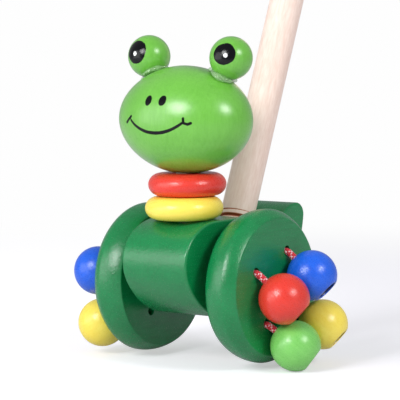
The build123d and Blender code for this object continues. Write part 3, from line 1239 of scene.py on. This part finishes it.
@dataclass
class Glue:
    """A collar of clear glue in the corner between an eye and the head.

    A lump is its count round the collar, its share of the section and its phase in radians.
    """

    head: Head
    slot: str = "clear_glue"
    reach: float = 5.2
    swell: float = 1.05
    drift: float = 0.4
    wide_share: float = 1.5
    tall_share: float = 0.9
    brow_bow: float = 52.0
    lumps: tuple[tuple[int, float, float], ...] = (
        (2, 0.35, 0.6),
        (3, 0.3, 2.1),
        (5, 0.16, 4.0),
        (9, 0.07, 1.0),
    )
    steps: tuple[int, int] = (120, 24)

    def build(self, side: Side) -> bpy.types.Object:
        """The collar as a fat ring whose section swells and shrinks round it.

        At angle v round the eye and angle w round the section, the point is the foot plus the
        reach and the section's size times the cosine of w outwards, and times the sine of w along
        the surface's facing. The size is the swell times one plus a sum of sines of v.

        Args:
            side: Which eye the collar belongs to.

        Returns:
            The collar.
        """
        foot, facing = self.head.seat(side)
        v = np.linspace(0, 2 * math.pi, self.steps[0], endpoint=False)[:, None]
        w = np.linspace(0, 2 * math.pi, self.steps[1], endpoint=False)[None, :]
        size = self.swell * (1 + sum(a * np.sin(n * v + p + side.value) for n, a, p in self.lumps))
        out = self.reach + self.drift * np.sin(2 * v + side.value) + size * self.wide_share * np.cos(w)
        rise = self.swell + size * self.tall_share * np.sin(w) - out**2 / self.brow_bow
        points = np.stack([out * np.cos(v), out * np.sin(v), rise], axis=-1).reshape(-1, 3)
        faces = grid_faces(*self.steps, close_rows=True).tolist()
        return outward(mesh_piece(f"glue_{side.word}", points @ frame_of(facing).T + foot, faces, 180))

    def make(self) -> None:
        """Builds and dresses both collars."""
        for side in Side:
            paint = Paint(self.slot)
            cloud = paint.noise(paint.place(self.head.seat(side)[0]), 0.9, 2.0, 0.5)
            paint.set(
                Base_Color=rgb(168, 212, 150),
                Roughness=0.05,
                Specular_IOR_Level=1.0,
                Alpha=0.2 + cloud * 0.55,
                Normal=paint.bump(cloud, 0.9),
            )
            dress(self.build(side), paint, self.slot, "root", f"eye_glue_{side.word}")


@dataclass(frozen=True)
class Hang:
    """How one bead hangs: its hole, its droop and lean in degrees, and its share of the reach."""

    side: Side
    colour: str
    hole: int
    droop: float
    lean: float
    share: float

    @property
    def name(self) -> str:
        """The side and colour, as the nodes spell them."""
        return f"{self.side.word}_{self.colour}"

    @property
    def way(self) -> Array:
        """The way the cord hangs from its hole's mouth."""
        down, lean = math.sin(math.radians(self.droop)), math.radians(self.lean)
        out = self.side.value * math.cos(math.radians(self.droop))
        return np.array([out, down * math.sin(lean), -down * math.cos(lean)])


@dataclass
class Beads:
    """Eight bored beads on short braided cords, four outside each wheel."""

    wheels: Wheels
    diameter: float = 20.9
    bore: float = 3.4
    bore_break: float = 0.25
    bore_round: float = 0.2
    flat: float = 9.0
    rim_turn: float = 3.5
    recess_diameter: float = 8.9
    recess_depth: float = 6.8
    recess_round: float = 0.3
    edge: float = 0.6
    cord_diameter: float = 2.8
    cord_reach: float = 15.0
    cord_recess: float = 3.5
    knot_diameter: float = 6.4
    knot_gap: float = 0.12
    hangs: tuple[Hang, ...] = (
        Hang(Side.RIGHT, "red", 0, 47.8, 23.4, 1.0445),
        Hang(Side.RIGHT, "blue", 1, 44.9, 15.8, 0.991),
        Hang(Side.RIGHT, "yellow", 2, 44.3, 21.7, 0.981),
        Hang(Side.RIGHT, "green", 3, 45.0, 31.8, 0.993),
        Hang(Side.LEFT, "blue", 0, 31.5, -1.8, 0.8235),
        Hang(Side.LEFT, "red", 1, 32.1, -7.8, 0.829),
        Hang(Side.LEFT, "green", 2, 32.7, -12.8, 0.8345),
        Hang(Side.LEFT, "yellow", 3, 33.8, -18.2, 0.845),
    )

    def profile(self) -> Array:
        """A bead's closed profile: bore, outer skin, flat end and the recess for the knot."""
        radius, bore, recess = self.diameter / 2, self.bore / 2, self.recess_diameter / 2
        start = math.degrees(math.asin((bore + self.bore_break) / radius))
        flat_angle = math.acos(self.flat / radius)
        skin = arc((0, 0), (-radius, radius), start, 180 - math.degrees(flat_angle) - self.rim_turn, 80)
        corner = np.array([self.flat, radius * math.sin(flat_angle)])
        leave = corner - np.array([0, self.edge])
        floor = self.flat - self.recess_depth
        end = skin[0, 0] + self.bore_round
        inside = rounded(
            [leave, [self.flat, recess], [floor, recess], [floor, bore], [end, bore], skin[0]],
            [0, self.recess_round, 0, self.recess_round, self.bore_round, 0],
            4,
        )
        return np.vstack([skin, curve(skin[-1], corner, leave, 7)[1:], inside[1:-1]])

    def darken(self, paint: Paint, x: Sock, y: Sock, z: Sock) -> None:
        """Paints shade down in the knot's recess and bore, darkening the paint to stand for the shadow inside
        them.

        Args:
            paint: The bead's tree.
            x: Distance from the bead's axis one way.
            y: Distance from it the other way.
            z: Distance along the axis from the bead's middle.
        """
        depth = z.below(self.flat - self.recess_round, 0.15) * (1 - z.below(0.0, 0.1))
        inside = ((x * x + y * y) ** 0.5).below(self.recess_diameter / 2 + 0.05, 0.04) * depth
        # Painted shade: a near-black tone laid over the recess and bore for the shadow in them.
        paint.over(inside * 0.8, rgb(22, 20, 18))

    def make(self) -> None:
        """Builds and dresses every bead and its cord."""
        cords = Cord(self)
        for hang in self.hangs:
            mouth = self.wheels.mouth(hang.side, hang.hole)
            centre = mouth + hang.way * self.cord_reach * hang.share
            frame = frame_of(hang.way)
            bead = lathe(f"ball_{hang.name}", self.profile(), centre, frame, 128)
            finish = PAINT_OF[hang.colour]
            paint = finish.paint(centre, euler(frame), GRAIN_Z)
            self.darken(paint, *paint.parts(paint.place(centre, euler(frame))))
            dress(bead, paint, finish.slot, f"bead_{hang.name}", f"bead_{hang.name}")
            cords.make(hang, mouth, centre)


@dataclass
class Cord:
    """A braided cord: strands that wind both ways round a core and cross each other."""

    beads: Beads
    strands: int = 8
    pale_step: int = 4
    lay: float = 6.0
    strand_radius: float = 0.34
    strand_sides: int = 8
    weave_share: float = 0.45
    wide_share: float = 1.25
    tall_share: float = 0.8
    points: int = 150
    bend: float = 3.0
    sag: float = 0.8
    knot_radius: float = 1.05
    knot_margin: float = 1.15
    knot_steps: tuple[int, int] = (72, 10)
    knot_shares: Place = (1 / 3, 1 / 3, 0.75)
    blend_run: float = 4.5

    def route(self, hang: Hang, mouth: Array, end: Array) -> tuple[Array, Array, Array]:
        """The cord's middle line with two directions square to it.

        The line runs along the axle inside the wheel, then along the hang. Between them its
        direction turns smoothly, and the line is the running sum of its directions. The bend's
        middle lies outside the mouth by the sag, so that the cord rests on the hole's lower side.

        Args:
            hang: How the bead hangs.
            mouth: The hole's mouth.
            end: Where the cord ends in its knot.

        Returns:
            Points, first directions and second directions, one row each.
        """
        inside = self.beads.wheels.thickness - self.beads.cord_recess
        s = np.linspace(-inside, float(np.linalg.norm(end - mouth)), self.points)
        share = np.clip((s - self.sag) / self.bend + 0.5, 0, 1)
        share = (share * share * (3 - 2 * share))[:, None]
        out = np.array([float(hang.side.value), 0, 0])
        tangent = unit(out * (1 - share) + hang.way * share)
        line = np.cumsum(tangent, axis=0) * (s[1] - s[0])
        line += end - line[-1]
        first = np.broadcast_to(unit(np.cross(out, hang.way)), tangent.shape)
        return line, first, np.cross(tangent, first)

    def build(self, hang: Hang, mouth: Array, end: Array) -> bpy.types.Object:
        """The strands and the knot as one mesh.

        Strand k winds at an angle of its own start plus or minus a turn for each lay. Its distance
        from the line rises and falls once for every two crossings, in opposite phase for the two
        hands, and is the same for both hands at a crossing. A flattened tube follows it.

        Args:
            hang: How the bead hangs.
            mouth: The hole's mouth.
            end: Where the cord ends in its knot.

        Returns:
            The cord, with a face attribute that is one on pale strands and a half on the knot.
        """
        line, first, second = self.route(hang, mouth, end)
        length = np.concatenate([[0], np.cumsum(np.linalg.norm(np.diff(line, axis=0), axis=1))])
        wound = 2 * math.pi * length / self.lay
        base = self.beads.cord_diameter / 2 - self.strand_radius * 0.95
        sides = self.strand_sides
        points: list[Array] = []
        faces: list[Any] = []
        shades: list[float] = []
        total = 0
        for hand in (1, -1):
            wave = np.cos(self.strands * wound + hand * math.pi / 2)
            distance = base + self.strand_radius * self.weave_share * wave
            for k in range(self.strands):
                angle = 2 * math.pi * k / self.strands + hand * wound
                spoke = np.cos(angle)[:, None] * first + np.sin(angle)[:, None] * second
                centre = line + spoke * distance[:, None]
                across = unit(np.cross(unit(np.gradient(centre, axis=0)), spoke))
                wide, tall = self.strand_radius * self.wide_share, self.strand_radius * self.tall_share
                points.append(tube(centre, across, spoke, wide, tall, sides))
                last = total + len(points[-1])
                quads = grid_faces(len(line), sides, first=total).tolist()
                quads.append(list(range(total, total + sides))[::-1])
                quads.append(list(range(last - sides, last)))
                faces += quads
                shades += [1.0 if k % self.pale_step == 0 else 0.0] * len(quads)
                total = last
        points.append(self.knot() @ frame_of(hang.way).T + end)
        knot_faces = grid_faces(*self.knot_steps, close_rows=True, first=total).tolist()
        shades += [0.5] * len(knot_faces)
        piece = mesh_piece(f"braid_{hang.name}", np.vstack(points), faces + knot_faces, 60)
        shade = piece.data.attributes.new("strand", "FLOAT", "FACE")
        shade.data.foreach_set("value", np.array(shades, np.float32))
        return piece

    def knot(self) -> Array:
        """The points of an overhand knot, as a thick trefoil tube about the origin.

        The middle line is sin v plus twice sin 2v, cos v less twice cos 2v, and minus sin 3v,
        each times a share of a size. A tube follows it in a frame square to its direction.

        Returns:
            The knot's points.
        """
        size = self.beads.knot_diameter / 2 - self.knot_margin
        v = np.linspace(0, 2 * math.pi, self.knot_steps[0], endpoint=False)
        trefoil = [np.sin(v) + 2 * np.sin(2 * v), np.cos(v) - 2 * np.cos(2 * v), -np.sin(3 * v)]
        line = np.stack(trefoil, axis=-1) * np.array(self.knot_shares) * size
        forward = unit(np.roll(line, -1, axis=0) - np.roll(line, 1, axis=0))
        across = unit(np.cross(forward, unit(line)))
        out = np.cross(across, forward)
        return tube(line, across, out, self.knot_radius, self.knot_radius, self.knot_steps[1])

    def paint(self, mouth: Array) -> Paint:
        """Fuzzy red yarn with pale strands.

        Args:
            mouth: The hole's mouth, about which the fibres lie.

        Returns:
            The cord's tree.
        """
        paint = Paint("cord")
        strand = paint.node("ShaderNodeAttribute", {"attribute_name": "strand"}).output("Fac")
        fibres = paint.noise(paint.place(mouth), 6.0, 3.0, 0.6)
        colour = paint.mix(strand, rgb(214, 36, 48), rgb(250, 208, 212))
        paint.set(
            Base_Color=paint.mix((fibres - 0.35) * 0.8, colour, rgb(120, 12, 22)),
            Roughness=0.72,
            Sheen_Weight=0.25,
            Normal=paint.bump(fibres, 0.05),
        )
        return paint

    def make(self, hang: Hang, mouth: Array, centre: Array) -> None:
        """Builds one cord, bent on its way from its wheel to its bead, and dresses it.

        Args:
            hang: How the bead hangs.
            mouth: The hole's mouth.
            centre: The bead's middle.
        """
        beads, name = self.beads, hang.name
        reach = beads.flat - beads.recess_depth + beads.knot_diameter / 2 + beads.knot_gap
        piece = self.build(hang, mouth, centre + hang.way * reach)
        piece.data.materials.append(self.paint(mouth).material)
        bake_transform(piece)
        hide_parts(f"cord_{name}")
        LOG.info("%s: %d faces", piece.name, len(piece.data.polygons))


@dataclass(frozen=True)
class Softbox:
    """A round lamp that faces the toy, by how far right, up and back in the view it stands.

    Its distance is in millimetres, its size in metres and its power in watts.
    """

    name: str
    way: Place
    distance: float
    size: float
    power: float


@dataclass
class Studio:
    """A pale floor and backdrop, three lamps and the camera of the photograph."""

    axle_y: float
    lift: float
    azimuth: float = 37.29
    height: float = 5.03
    roll: float = -0.68
    distance: float = 840.03
    target: Place = (-1.95, 0.0, 66.05)
    focal_pixels: float = 1985.83
    frame_pixels: float = 400.0
    sensor: float = 36.0
    lamp_height: float = 60.0
    lamps: tuple[Softbox, ...] = (
        Softbox("left_softbox", (-0.56, 0.42, 0.71), 1100.0, 0.44, 7.3),
        Softbox("left_panel", (-0.95, 0.06, 0.3), 1200.0, 1.0, 5.8),
        Softbox("right_softbox", (0.62, 0.47, 0.62), 1300.0, 0.4, 7.3),
    )
    floor_front: float = 4500.0
    floor_back: float = 3600.0
    floor_half: float = 5200.0
    backdrop_bend: float = 900.0
    backdrop_top: float = 2600.0
    floor_glow: float = 0.39
    left_glow: float = 0.15
    left_soft: float = 90.0
    gloss_share: float = 0.12
    shadow_reach: float = 420.0
    shadow_soft: float = 180.0
    surround: float = 0.4
    surround_seen: float = 1.04

    @property
    def view(self) -> Array:
        """Columns that point right, up and back in the view.

        Back is the way from the target to the camera, right is square to it and level, and both
        right and up are then turned about back by the roll.
        """
        a, e = math.radians(self.azimuth), math.radians(self.height)
        back = np.array([math.sin(a) * math.cos(e), -math.cos(a) * math.cos(e), math.sin(e)])
        right = unit(np.cross(-back, [0, 0, 1.0]))
        return turn_about(back, self.roll) @ np.stack([right, np.cross(back, right), back], axis=1)

    def camera(self) -> None:
        """Places the camera by the fitted view."""
        target = np.array(self.target) + np.array([0, self.axle_y, self.lift])
        place = target + self.view[:, 2] * self.distance
        data = bpy.data.cameras.new("camera")
        data.sensor_width = self.sensor
        data.lens = self.focal_pixels * self.sensor / self.frame_pixels
        data.shift_x = -0.5 / self.frame_pixels
        data.shift_y = 0.5 / self.frame_pixels
        data.clip_start = 0.01
        data.clip_end = 100.0
        bpy.context.scene.camera = stand("camera", data, place, self.view)

    def hang_lamps(self) -> None:
        """Hangs the lamps, each facing the toy."""
        for lamp in self.lamps:
            way = unit(self.view @ np.array(lamp.way))
            data = bpy.data.lights.new(lamp.name, "AREA")
            data.shape = "DISK"
            data.size = lamp.size
            data.energy = lamp.power
            middle = np.array([0, self.axle_y, self.lamp_height])
            stand(lamp.name, data, middle + way * lamp.distance, frame_of(way))

    def floor(self) -> None:
        """A floor that rises into a backdrop along a wide curve, seen as near white.

        The section is a level run, a quarter circle and an upright run, carried straight across.
        """
        back = self.view[:, 2]
        away = -unit([back[0], back[1], 0])
        across = np.cross([0, 0, 1.0], away)
        bend = self.backdrop_bend
        quarter = arc((self.floor_back, bend), bend, -90, 0, 24)
        wall = [self.floor_back + bend, self.backdrop_top]
        section = np.vstack([[-self.floor_front, 0], [0, 0], quarter, wall])
        line = section[:, 0:1] * away + section[:, 1:2] * np.array([0, 0, 1.0])
        sides = np.array([-self.floor_half, self.floor_half])[None, :, None]
        points = (line[:, None, :] + sides * across + np.array([0, self.axle_y, 0])).reshape(-1, 3)
        i = np.arange(len(section) - 1) * 2
        quads = np.stack([i, i + 2, i + 3, i + 1], axis=-1).tolist()
        piece = mesh_piece("floor", points, quads, 180)
        piece.data.materials.append(self.floor_paint().material)

    def floor_paint(self) -> Paint:
        """White paper that takes the toy's shadow near it and is plain white farther off.

        Seen by the camera, or more faintly in gloss, the paper adds a glow to the light that
        falls on it, a little more at the left, and past a distance from the toy it is plain white.

        Returns:
            The floor's tree.
        """
        paint = Paint("floor")
        paint.set(Base_Color=rgb(216, 215, 222), Roughness=0.9, Specular_IOR_Level=0.1)
        path = paint.node("ShaderNodeLightPath")
        gloss = path.output("Is Glossy Ray") * self.gloss_share
        seen = path.output("Is Camera Ray").larger(gloss)
        place = paint.place((0, self.axle_y, 0))
        distance = paint.vector("LENGTH", place).output("Value")
        far = 1.0 - distance.below(self.shadow_reach, self.shadow_soft)
        across = paint.vector("DOT_PRODUCT", place, self.view[:, 0].tolist()).output("Value")
        level = self.floor_glow + across.below(0.0, self.left_soft) * self.left_glow
        white = rgb(254, 254, 254)
        glow = paint.node("ShaderNodeEmission", None, white, seen * level)
        near = paint.node("ShaderNodeAddShader", None, Sock(paint, paint.shader.outputs[0]), glow)
        plain = paint.node("ShaderNodeEmission", None, white, 1.0)
        paint.feed(paint.surface, paint.node("ShaderNodeMixShader", None, seen * far, near, plain))
        return paint

    def world(self) -> None:
        """Even light from all round, seen as white."""
        world = bpy.data.worlds.new("surround")
        world.use_nodes = True
        bpy.context.scene.world = world
        shade = world.node_tree.nodes["Background"]
        shade.inputs["Color"].default_value = (0.96, 0.97, 1.0, 1.0)
        seen = world.node_tree.nodes.new("ShaderNodeLightPath")
        level = world.node_tree.nodes.new("ShaderNodeMapRange")
        level.inputs["To Min"].default_value = self.surround
        level.inputs["To Max"].default_value = self.surround_seen
        world.node_tree.links.new(seen.outputs["Is Camera Ray"], level.inputs["Value"])
        world.node_tree.links.new(level.outputs["Result"], shade.inputs["Strength"])

    def make(self) -> None:
        """Sets up the camera, the lamps, the floor and the world."""
        self.camera()
        self.hang_lamps()
        self.floor()
        self.world()
        bpy.context.scene.view_settings.view_transform = "Standard"


def corners(bounds: Any) -> list[list[float]]:
    """A box's two corners as plain lists of numbers."""
    return [[float(value) for value in corner] for corner in bounds]


def main() -> None:
    """Builds the toy over its frame and sets the studio up."""
    logging.basicConfig(level=logging.INFO, format="%(name)s %(message)s")
    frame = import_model()
    spin = next(joint for joint in frame["joints"] if joint["name"] == "wheel_spin")
    axle = np.array(spin["pos_m"]) / METRES
    body = Body(axle)
    stick = Stick(body.seat(body.stick_back))
    body.make(stick)
    stick.make()
    wheels = Wheels(axle)
    wheels.make()
    neck = Neck(body.seat(body.neck_back))
    neck.make()
    head = Head(neck.head_centre)
    head.make()
    Glue(head).make()
    Beads(wheels).make()
    Studio(float(axle[1]), body.lift).make()


if __name__ == "__main__":
    main()
